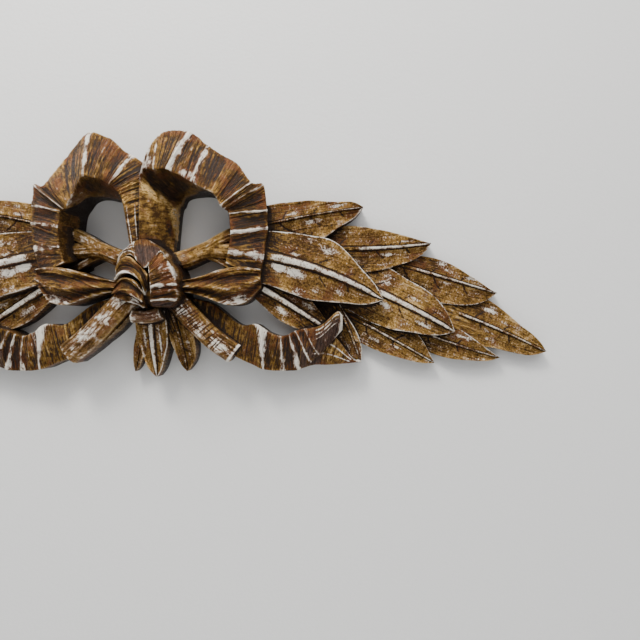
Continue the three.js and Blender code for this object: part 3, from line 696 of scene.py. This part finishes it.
def tail():
    return [
        ribbon(bow(TAIL_UPPER), bow(TAIL_LOWER), TAIL_RIDGES, bare=(0.76, 0.96, 0.2, 1),
               contours=(0.75, 0.93, (0.1, 0.22, 0.36))),
        ribbon(bow(TONGUE_UPPER), bow(TONGUE_LOWER), TONGUE_RIDGES, gouge=0, edge_wear=(1, 0.1),
               bare=(0, 0.36, 0.3, 1), contours=(0.2, 0.75, (0.3, 0.62))),
    ]


# Stems from the knot into a spray: places on the bow with a share of the stem's width, then the place on
# the spray where each one ends, with its height as a share of the spray's
STEM_ROWS = [
    ([(0, 10, 46, 1), (26, 15, 48, 1), (46, 22, 48, 0.8), (66, 31, 46, 0.75)], (2, 19), 0.6),
    ([(0, 10, 46, 1), (26, 14, 48, 1), (46, 20, 48, 0.9), (66, 20, 48, 1)], (3, 10), 0.75),
    ([(10, 10, 37, 0.5), (25, 14, 37, 0.4), (43, 17.5, 37, 0.4), (63, 11, 37, 0.4)], (2, -2), 0.5),
]


def stems(wear):
    made = []
    for run, end, height in STEM_ROWS:
        row = [(*bow(place), wide * STEM_WIDTH / 2) for *place, wide in run]
        row.append((*spray(end), height * SPRAY_RELIEF, STEM_WIDTH / 2))
        made.append(stem(row, wear=wear))
    return made


CUT_ROW = [
    (6, -5, 63), (23, -15, 65), (37, -27, 67), (54, -40, 65), (71, -50, 58),
]
LEFT_CUT_WIDEN = 1.12
HOLLOW_UPPER = [
    (-15, -18, 50), (-36, -32, 52), (-55, -44, 48), (-70, -52, 42),
]
HOLLOW_LOWER = [
    (-19, -25, 48), (-33, -37, 48), (-50, -47, 44), (-68, -56, 38),
]


def cut_stem(widen, **finish):
    return stem([(*bow(place), widen * CUT_STEM_WIDTH / 2) for place in CUT_ROW], square=True, **finish)


def hollow_strip():
    return ribbon(bow(HOLLOW_UPPER), bow(HOLLOW_LOWER), PLAIN_RIDGES, gouge=0, crown=-3)


# Leaves that hang below the knot, given as in the spray
PENDANT_TOP = -0.19  # share of the bow's rise
PENDANT_LEAVES = [
    ((-12, -20), (-31, -93), (42, 36, 20), 0,
     (12, 14, 14, 10, 10), (10, 12, 12, 9, 8), (0.2, 0.2), (0.1, 0.2, 0.3),
     []),
    ((27, 5), (48, -92), (58, 50, 30), 3,
     (15, 18, 20, 19, 16), (15, 15, 14, 12, 13), (0.1, 0.3), (0.1, 0.5, 0.45),
     [(0.6, 6, 12, 1.5, 0.6)]),
    ((2, 0), (5, -100), (67, 62, 36), 0,
     (20, 22.5, 21, 15, 13), (20, 22, 20, 15.5, 15), (0.6, 0.1), (0.05, 0.95, 0.8),
     [(0.45, -7, 12, 1.6, 0.8), (0.5, 7, 16, 1, 0.9)]),
]


def pendants():
    def hang(place):
        return np.array(place) / PERCENT * PENDANT_LENGTH + (0, PENDANT_TOP * BOW_RISE)

    return [
        leaf(hang(base), hang(tip), np.array(heights) / PERCENT * BOW_RELIEF, *rest)
        for base, tip, heights, *rest in PENDANT_LEAVES
    ]


# The knot: a rounded core, a hood over the top, a roll and a tongue on its left, a fold on its right
KNOT_MIDDLE = (0.2, -0.16)
CORE_SHARE = 0.95
CORE_NARROWER = 0.88  # of that, across
KNOT_WRAPS = [
    dict(
        front=[(-93, 35, 83), (-71, 70, 95), (-42, 80, 100), (-13, 56, 106), (8, 41, 108), (33, 66, 107),
               (52, 88, 102), (70, 59, 92)],
        outer=[(-108, 41, 70), (-91, 83, 77), (-65, 107, 80), (-37, 125, 83), (-10, 129, 83),
               (16, 118, 83), (38, 103, 83), (60, 85, 82)],
        ridges=[(0, 0, 1, 1, 0.4), ((0.2, 0.15), 0, 1, 0.5, 0.8), ((0.4, 0.38), 0.7, 1, 0, 0.6),
                ((0.62, 0.6), 0, 1, 0.5, 0.8), (1, 0.3, 1, 0, 0)],
        gouge=1.5, edge_wear=(0.9, 0.6), bare=(0.42, 0.86, 0.04, 0.72), contours=(0, 0.42, (0.3, 0.62, 0.86)),
    ),
    dict(
        front=[(-102, 3, 83), (-77, 23, 95), (-41, 23, 102), (-15, 9, 103), (-2, -8, 102), (1, -35, 95)],
        outer=[(-102, 46, 78), (-74, 67, 90), (-46, 73, 96), (-17, 53, 102), (-1, 40, 103), (16, 21, 102)],
        ridges=PLAIN_RIDGES, gouge=0, crown=2, pleats=1, pleat_wear=0, edge_wear=(2, 0), edge_width=2.2,
    ),
    dict(
        front=[(-105, -6, 80), (-76, 13, 91), (-45, 14, 97), (-20, 1, 99), (-4, -22, 97)],
        outer=[(-114, -36, 70), (-88, -45, 78), (-59, -52, 83), (-33, -60, 85), (-10, -69, 83)],
        ridges=PLAIN_RIDGES, gouge=0, crown=4, pleats=2, pleat_wear=0.6, edge_wear=(0, 1), edge_width=1.6,
    ),
    dict(
        front=[(16, 50, 106), (20, 24, 107), (23, -3, 107), (24, -25, 106), (18, -50, 100), (18, -69, 87)],
        outer=[(53, 88, 100), (80, 47, 97), (93, 10, 95), (96, -18, 95), (94, -46, 92), (70, -69, 80)],
        ridges=[(0, 0, 1, 1, 0.4), (0.25, 0.55, 6, 0.6, 0.7), (0.5, 1, (3.4, 1), 0.2, 0.9),
                (0.64, 0.4, 2, 0.3, 1), (0.82, 1, 1.2, 0, 0.8), (1, 0.3, 1, 0.5, 0)],
        gouge=2.6, crown=1.5, edge_wear=(0.9, 0.1), edge_width=1.2, bare=(0.87, 1, 0, 1),
    ),
]
TIE_ROW = [
    (-64, -95, 73), (-29, -98, 78), (3, -95, 80), (29, -86, 77),
]
TIE_SHARE = 0.2


def knot(places):
    shares = np.array(places) / PERCENT + (*KNOT_MIDDLE, 0)
    return shares * (KNOT_WIDTH / 2, KNOT_HEIGHT / 2, KNOT_RELIEF)


def knot_core():
    turns = np.linspace(0, 2 * np.pi, 64, endpoint=False)
    tilts = np.linspace(-0.49 * np.pi, 0.49 * np.pi, 40)
    across = np.cos(tilts)[:, None] * np.cos(turns) * CORE_NARROWER * KNOT_WIDTH / 2
    out = np.cos(tilts)[:, None] * np.sin(turns) * KNOT_RELIEF
    up = np.sin(tilts)[:, None] * np.ones_like(turns) * KNOT_HEIGHT / 2
    shift = (KNOT_MIDDLE[0] * KNOT_WIDTH / 2, KNOT_MIDDLE[1] * KNOT_HEIGHT / 2, 0)
    rings = np.stack([across, up, out], axis=-1) * CORE_SHARE + shift
    return Piece(rings, up, across, 0, 0.6)


def knot_pieces():
    def wrap(front, outer, **finish):
        return ribbon(knot(front), knot(outer), **finish)

    wraps = [wrap(**given) for given in KNOT_WRAPS]
    tie = stem([(*place, TIE_SHARE * KNOT_WIDTH / 2) for place in knot(TIE_ROW)], wear=0.66, bare=0.6)
    return [knot_core(), *wraps, tie]


def placed(name, data):
    """A new object in the scene."""
    added = bpy.data.objects.new(name, data)
    bpy.context.scene.collection.objects.link(added)
    return added


def boolean(whole, operation, **operand):
    change = whole.modifiers.new(operation, "BOOLEAN")
    change.operation = operation
    change.solver = "MANIFOLD"
    for name, value in operand.items():
        setattr(change, name, value)


def joined(name, pieces):
    """One closed carving from its pieces, cut flat along the back, with the marks of the pieces kept."""
    whole, *rest = [piece.mesh(f"{name}_{number}") for number, piece in enumerate(pieces)]
    whole = placed(whole.name, whole)
    rest = [bpy.data.objects.new(mesh.name, mesh) for mesh in rest]
    gathered = bpy.data.collections.new(name)
    bpy.context.scene.collection.children.link(gathered)
    for one in rest:
        gathered.objects.link(one)
    boolean(whole, "UNION", operand_type="COLLECTION", collection=gathered)
    stock = back_stock()
    boolean(whole, "DIFFERENCE", object=stock)
    bpy.context.view_layer.update()
    mesh = bpy.data.meshes.new_from_object(whole.evaluated_get(bpy.context.evaluated_depsgraph_get()))
    for one in [whole, *rest, stock]:
        bpy.data.objects.remove(one)
    bpy.data.collections.remove(gathered)
    mesh.name = name
    keep_marks(mesh, pieces)
    return placed(name, mesh)


def back_stock():
    """A slab just behind the wall face, which takes the rough stock off the back."""
    wide, high, deep = 1.0, 0.5, 0.15
    corners = [(x, y, z) for x in (-wide, wide) for y in (0, deep) for z in (-high, high)]
    sides = [(0, 1, 3, 2), (4, 6, 7, 5), (0, 4, 5, 1), (2, 3, 7, 6), (0, 2, 6, 4), (1, 5, 7, 3)]
    mesh = bpy.data.meshes.new("back_stock")
    mesh.from_pydata(corners, [], sides)
    return placed("back_stock", mesh)


def places_of(mesh):
    found = np.empty(len(mesh.vertices) * 3)
    mesh.vertices.foreach_get("co", found)
    return found.reshape(-1, 3)


def keep(mesh, name, values):
    mesh.attributes.new(name, "FLOAT", "POINT").data.foreach_set("value", np.asarray(values, np.float32))


def keep_marks(mesh, pieces):
    """Gives each vertex the marks of the nearest vertex of the pieces."""
    points = np.vstack([piece.places for piece in pieces])[:, [0, 2, 1]] * (MM, -MM, MM)
    marks = np.vstack([piece.marks for piece in pieces])
    tree = KDTree(len(points))
    for index, point in enumerate(points):
        tree.insert(point, index)
    tree.balance()
    nearest = [tree.find(vertex.co)[1] for vertex in mesh.vertices]
    for column, name in enumerate(Piece.MARKS):
        keep(mesh, name, marks[nearest, column])


# Heights of the whole carving over the back, on a grid of cells, in mm
CELL = 0.8
MARGIN = 12
NEAR_RADIUS = 1.4
FAR_RADIUS = 12


def height_grid(carvings):
    points, faces, shift = [], [], 0
    for carving in carvings:
        mesh = carving.data
        points.extend(vertex.co for vertex in mesh.vertices)
        faces.extend([index + shift for index in face.vertices] for face in mesh.polygons)
        shift = len(points)
    tree = BVHTree.FromPolygons(points, faces)
    low, high = (np.array([corner.x, corner.z]) / MM for corner in cad_box)
    low, high = low - MARGIN, high + MARGIN
    columns, rows = np.ceil((high - low) / CELL).astype(int)
    grid = np.zeros((rows, columns))
    inward = Vector((0, 1, 0))
    for row in range(rows):
        z = (low[1] + row * CELL) * MM
        for column in range(columns):
            hit = tree.ray_cast(Vector(((low[0] + column * CELL) * MM, -0.1, z)), inward, 0.099)[0]
            if hit:
                grid[row, column] = -hit.y / MM
    return grid, low


def blurred(grid, radius):
    """The grid smoothed by a bell curve of this radius in mm."""
    rows, columns = (np.fft.fftfreq(size) for size in grid.shape)
    bell = np.exp(-2 * (np.pi * radius / CELL) ** 2 * (rows[:, None] ** 2 + columns[None, :] ** 2))
    return np.fft.ifft2(np.fft.fft2(grid) * bell).real


def sampled(grid, low, points):
    """Values of the grid at points across and up, in mm, between its cells."""
    place = (points - low) / CELL
    cell = np.clip(place.astype(int), 0, np.array(grid.shape)[::-1] - 2)
    part = place - cell
    column, row = cell.T
    lower = mix(grid[row, column], grid[row, column + 1], part[:, 0])
    upper = mix(grid[row + 1, column], grid[row + 1, column + 1], part[:, 0])
    return mix(lower, upper, part[:, 1])


def mark_wear_and_shade(carvings):
    """Stores how far each vertex stands above the carving near it, for wear, and below that farther round,
    for painted shade.
    """
    grid, low = height_grid(carvings)
    near, far = (blurred(grid, radius) for radius in (NEAR_RADIUS, FAR_RADIUS))
    for carving in carvings:
        points = places_of(carving.data) / MM
        height = -points[:, 1]
        flat = points[:, [0, 2]]
        keep(carving.data, "crest", height - sampled(near, low, flat))
        # Places sunk below the carving round them are darkened with painted shade
        keep(carving.data, "sunk", sampled(far, low, flat) - height)


NOISE_SWING = 6.0  # brings a noise value to about plus or minus one
BUMP_HEIGHT = 0.0006


class Nodes:
    """Short forms for building the nodes of a material or a world."""

    def __init__(self, owner):
        owner.use_nodes = True
        self.tree = owner.node_tree

    def feed(self, node, inputs):
        """Gives each input of a node the output of another one, a number or a colour."""
        for name, value in inputs.items():
            socket = node.inputs[name]
            if isinstance(value, bpy.types.NodeSocket):
                self.tree.links.new(value, socket)
            elif isinstance(value, tuple) and len(value) < len(socket.default_value):
                socket.default_value = (*value, 1)
            else:
                socket.default_value = value

    def add(self, kind, inputs, **settings):
        node = self.tree.nodes.new(kind)
        for name, value in settings.items():
            setattr(node, name, value)
        self.feed(node, inputs)
        return node

    def attribute(self, name):
        return self.add("ShaderNodeAttribute", {}, attribute_name=name).outputs["Fac"]

    def position(self, kind="Object"):
        return self.add("ShaderNodeTexCoord", {}).outputs[kind]

    def math(self, operation, *values, clamp=False):
        inputs = dict(enumerate(values))
        return self.add("ShaderNodeMath", inputs, operation=operation, use_clamp=clamp).outputs[0]

    def ramp(self, value, low, high, start=0.0, end=1.0):
        """A smooth step from start to end as the value goes from low to high."""
        inputs = {"Value": value, "From Min": low, "From Max": high, "To Min": start, "To Max": end}
        return self.add("ShaderNodeMapRange", inputs, interpolation_type="SMOOTHSTEP").outputs["Result"]

    def mix(self, share, a, b):
        return self.add("ShaderNodeMix", {"Factor": share, 6: a, 7: b}, data_type="RGBA").outputs[2]

    def noise(self, vector, scale, detail=3.0, roughness=0.6):
        inputs = {"Vector": vector, "Scale": scale, "Detail": detail, "Roughness": roughness}
        return self.add("ShaderNodeTexNoise", inputs).outputs["Fac"]

    def swing(self, *place_and_scale, **kind):
        """A noise that swings about zero."""
        return self.math("MULTIPLY_ADD", self.noise(*place_and_scale, **kind), NOISE_SWING, -NOISE_SWING / 2)

    def total(self, *terms):
        """The sum of values, each with its own weight."""
        whole = 0.0
        for value, weight in terms:
            whole = self.math("MULTIPLY_ADD", value, weight, whole)
        return whole

    def bump(self, height, strength=1.0):
        inputs = {"Height": height, "Distance": BUMP_HEIGHT, "Strength": strength}
        return self.add("ShaderNodeBump", inputs).outputs["Normal"]


def new_material(name):
    material = bpy.data.materials.new(name)
    nodes = Nodes(material)
    return material, nodes, nodes.tree.nodes["Principled BSDF"]


DEEP_GOLD = (0.062, 0.031, 0.011)
GOLD = (0.26, 0.145, 0.036)
BRIGHT_GOLD = (0.95, 0.66, 0.27)
BOLE = (0.13, 0.045, 0.020)
GESSO = (0.74, 0.69, 0.60)
# Dark brown of grime, also used for painted shade
GRIME_AND_SHADE = (0.018, 0.010, 0.007)
BARE_WOOD = (0.10, 0.055, 0.045)


def worn_gilding():
    """Gold leaf, rubbed through red-brown bole to white gesso on the crests, with painted shade and grime in
    the hollows.
    """
    gilding, n, shader = new_material("worn_gilding")
    place = n.position()

    def along_marks(stretch):
        along = n.math("MULTIPLY", n.attribute("along_marks"), stretch)
        return n.add("ShaderNodeCombineXYZ", {"X": n.attribute("across_marks"), "Y": along}).outputs["Vector"]

    streaks = n.swing(along_marks(0.1), 0.8, detail=4, roughness=0.75)
    flecks = n.swing(along_marks(0.4), 0.45, detail=5, roughness=0.75)
    # Broad lighter and darker patches of gold, partly a painted reflection of the room
    broad_tone_and_reflection = n.swing(place, 26, detail=2)
    blotch = n.swing(place, 120, detail=4, roughness=0.65)
    fine = n.swing(place, 560, roughness=0.7)
    rub, hollow, bare, crest, sunk = map(n.attribute, ("rub", "hollow", "bare", "crest", "sunk"))

    # The hollow mark also darkens the gold itself: painted shade and grime
    tone = n.total((broad_tone_and_reflection, 0.3), (flecks, 0.7), (hollow, -0.7), (streaks, 0.5), (blotch, 0.6), (crest, 0.06))
    colour = n.mix(n.ramp(tone, -0.9, 0.1), DEEP_GOLD, GOLD)
    colour = n.mix(n.ramp(tone, 0, 0.95), colour, BRIGHT_GOLD)
    red = n.total((n.swing(place, 47), 1), (blotch, 0.5), (streaks, 0.3), (hollow, 0.4))
    colour = n.mix(n.math("MULTIPLY", n.ramp(red, 0.2, 0.9), 0.7), colour, BOLE)
    bare_wood = n.mix(n.ramp(n.total((flecks, 0.6), (streaks, 0.5)), -0.5, 0.9), GRIME_AND_SHADE, BARE_WOOD)
    colour = n.mix(n.math("MULTIPLY", bare, 0.9), colour, bare_wood)
    wear = n.total((rub, 1), (blotch, 0.3), (streaks, 0.3), (flecks, 0.42), (hollow, -0.15), (crest, 0.03))
    colour = n.mix(n.math("MULTIPLY", n.ramp(wear, 0.16, 0.5), 0.6), colour, BOLE)
    gesso_share = n.ramp(wear, 0.42, 0.98)
    colour = n.mix(gesso_share, colour, GESSO)
    # Painted shade in hollows, in sunk places and on walls, with grime along the streaks, and less of both on
    # crests and rubbed places
    grime_and_shade = n.total((sunk, 0.05), (crest, -0.6), (hollow, 0.75), (streaks, -0.7), (flecks, -0.25), (rub, -0.6))
    grime_and_shade_share = n.ramp(grime_and_shade, 0.25, 0.95)
    colour = n.mix(n.math("MULTIPLY", grime_and_shade_share, 0.95), colour, GRIME_AND_SHADE)
    specks = n.ramp(n.total((fine, 1), (blotch, 0.5)), 0.8, 1.3)
    colour = n.mix(n.math("MULTIPLY", specks, 0.5), colour, GRIME_AND_SHADE)
    covered = n.math("MAXIMUM", n.math("MAXIMUM", gesso_share, grime_and_shade_share), bare)
    n.feed(shader, {
        "Base Color": colour,
        "Specular IOR Level": 0.2,
        "Metallic": n.math("MULTIPLY", n.math("SUBTRACT", 1, covered, clamp=True), 0.8),
        "Roughness": n.ramp(n.total((fine, 0.5), (gesso_share, 0.8)), -0.8, 1, 0.22, 0.65),
        "Normal": n.bump(n.total((streaks, 0.6), (flecks, 0.5), (fine, 0.15)), 0.9),
    })
    return gilding


DARK_GRAIN = (0.23, 0.145, 0.080)
PALE_GRAIN = (0.40, 0.28, 0.17)
GRAIN_STRETCH = (3, 3, 60)  # the grain runs along the ornament


def sawn_back():
    """Plain aged wood."""
    wood, n, shader = new_material("sawn_wood")
    stretched = n.add("ShaderNodeMapping", {"Scale": GRAIN_STRETCH, "Vector": n.position()}).outputs["Vector"]
    grain = n.noise(stretched, 4, detail=5.0)
    colour = n.mix(n.ramp(grain, 0.3, 0.7), DARK_GRAIN, PALE_GRAIN)
    n.feed(shader, {"Base Color": colour, "Roughness": 0.75, "Normal": n.bump(grain)})
    return wood


CREASE_ANGLE = 38
BACK_Y = -0.01 * MM


def dress(carving, front, back):
    """Smooth faces with sharp creases, gilded in front and bare wood behind."""
    mesh = carving.data
    mesh.materials.clear()
    mesh.materials.append(front)
    mesh.materials.append(back)
    centre = np.empty(len(mesh.polygons) * 3)
    mesh.polygons.foreach_get("center", centre)
    mesh.polygons.foreach_set("material_index", (centre.reshape(-1, 3)[:, 1] > BACK_Y).astype(np.int32))
    mesh.polygons.foreach_set("use_smooth", np.ones(len(mesh.polygons), bool))
    mesh.set_sharp_from_angle(angle=math.radians(CREASE_ANGLE))
    mesh.update()


WALL_PAINT = (0.69, 0.69, 0.68)
FLOOR_PAINT = (0.6, 0.6, 0.59)


def painted_wall():
    """Pale grey paint with the stipple of a roller, which is seen from in front only."""
    paint, n, shader = new_material("painted_wall")
    stipple = n.noise(n.position(), 330, detail=2.0, roughness=0.5)
    n.feed(shader, {"Base Color": WALL_PAINT, "Roughness": 0.7, "Normal": n.bump(stipple, 0.35)})
    behind = n.add("ShaderNodeNewGeometry", {}).outputs["Backfacing"]
    clear = n.add("ShaderNodeBsdfTransparent", {}).outputs[0]
    sides = n.add("ShaderNodeMixShader", {0: behind, 1: shader.outputs[0], 2: clear})
    n.feed(n.tree.nodes["Material Output"], {"Surface": sides.outputs[0]})
    return paint


def pale_floor():
    paint, n, shader = new_material("pale_floor")
    n.feed(shader, {"Base Color": FLOOR_PAINT, "Roughness": 0.8})
    return paint


def sheet(name, corners, material):
    mesh = bpy.data.meshes.new(name)
    mesh.from_pydata(corners, [], [(0, 1, 2, 3)])
    mesh.materials.append(material)
    placed(name, mesh)


def area_light(name, place, size, power, colour):
    lamp = bpy.data.lights.new(name, "AREA")
    lamp.shape = "RECTANGLE"
    lamp.size, lamp.size_y = size
    lamp.energy = power
    lamp.color = colour
    holder = placed(name, lamp)
    holder.location = place
    holder.rotation_euler = (Vector(LAMP_AIM) - Vector(place)).to_track_quat("-Z", "Y").to_euler()


WALL_Y = 0.001  # just behind the back of the carving
FLOOR_Z = -0.9
ROOM_TOP = 1.4
ROOM_SIDE = 2.2
ROOM_NEAR = -3
ROOM_FAR = 1
LAMP_AIM = (0.1, 0, 0)
SKY_COLOUR = (0.96, 0.97, 1)
SKY_BELOW = 0.4
SKY_ABOVE = 1.9


def set_stage():
    sides = (-ROOM_SIDE, ROOM_SIDE)
    wall = [(x, WALL_Y, FLOOR_Z) for x in sides] + [(x, WALL_Y, ROOM_TOP) for x in sides[::-1]]
    floor = [(x, ROOM_NEAR, FLOOR_Z) for x in sides] + [(x, ROOM_FAR, FLOOR_Z) for x in sides[::-1]]
    sheet("wall", wall, painted_wall())
    sheet("floor", floor, pale_floor())
    area_light("ceiling_light", (0.1, -0.9, 1.2), (2.0, 1.0), 18, (1, 0.985, 0.96))
    area_light("lamp", (-0.3, -0.7, 1.1), (0.4, 0.3), 22, (1, 0.97, 0.92))
    set_sky()


def set_sky():
    """Even light from all round the room, stronger from above than from below."""
    world = bpy.data.worlds.new("room")
    n = Nodes(world)
    direction = n.add("ShaderNodeSeparateXYZ", {"Vector": n.position("Generated")})
    strength = n.ramp(direction.outputs["Z"], 0.0, 0.95, SKY_BELOW, SKY_ABOVE)
    n.feed(n.tree.nodes["Background"], {"Color": SKY_COLOUR, "Strength": strength})
    bpy.context.scene.world = world


# The photograph was taken square to the wall, a little to the right of the knot and below it
CAMERA_PLACE = (0.160, -0.480, -0.038)
SENSOR = 36
LENS = 27


def set_camera():
    camera = bpy.data.cameras.new("camera")
    camera.sensor_width = SENSOR
    camera.lens = LENS
    camera.clip_start = 0.01
    holder = placed("camera", camera)
    holder.location = CAMERA_PLACE
    holder.rotation_euler = (math.radians(90), 0, 0)
    bpy.context.scene.camera = holder


def mirrored(pieces):
    return [piece.mirrored() for piece in pieces]


carvings = [
    joined("right_laurel", laurel_spray()),
    joined("left_laurel", mirrored(laurel_spray())),
    joined("right_bow", [
        right_loop(), loop_return(), *tail(), *stems(0.25),
        cut_stem(1, wear=0.78, worn_side=-0.1, cuts=24, lip=True),
    ]),
    joined("left_bow", [
        left_loop(),
        *mirrored([
            loop_return(), *tail(), *stems(0.45),
            cut_stem(LEFT_CUT_WIDEN, wear=0.72, worn_side=0.1, bare=0.12),
        ]),
        hollow_strip(),
    ]),
    joined("knot", [*pendants(), *knot_pieces()]),
]
mark_wear_and_shade(carvings)
gilding, wood = worn_gilding(), sawn_back()
for carving in carvings:
    dress(carving, gilding, wood)
    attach(carving, "root")
    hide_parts(NODE)

set_stage()
set_camera()
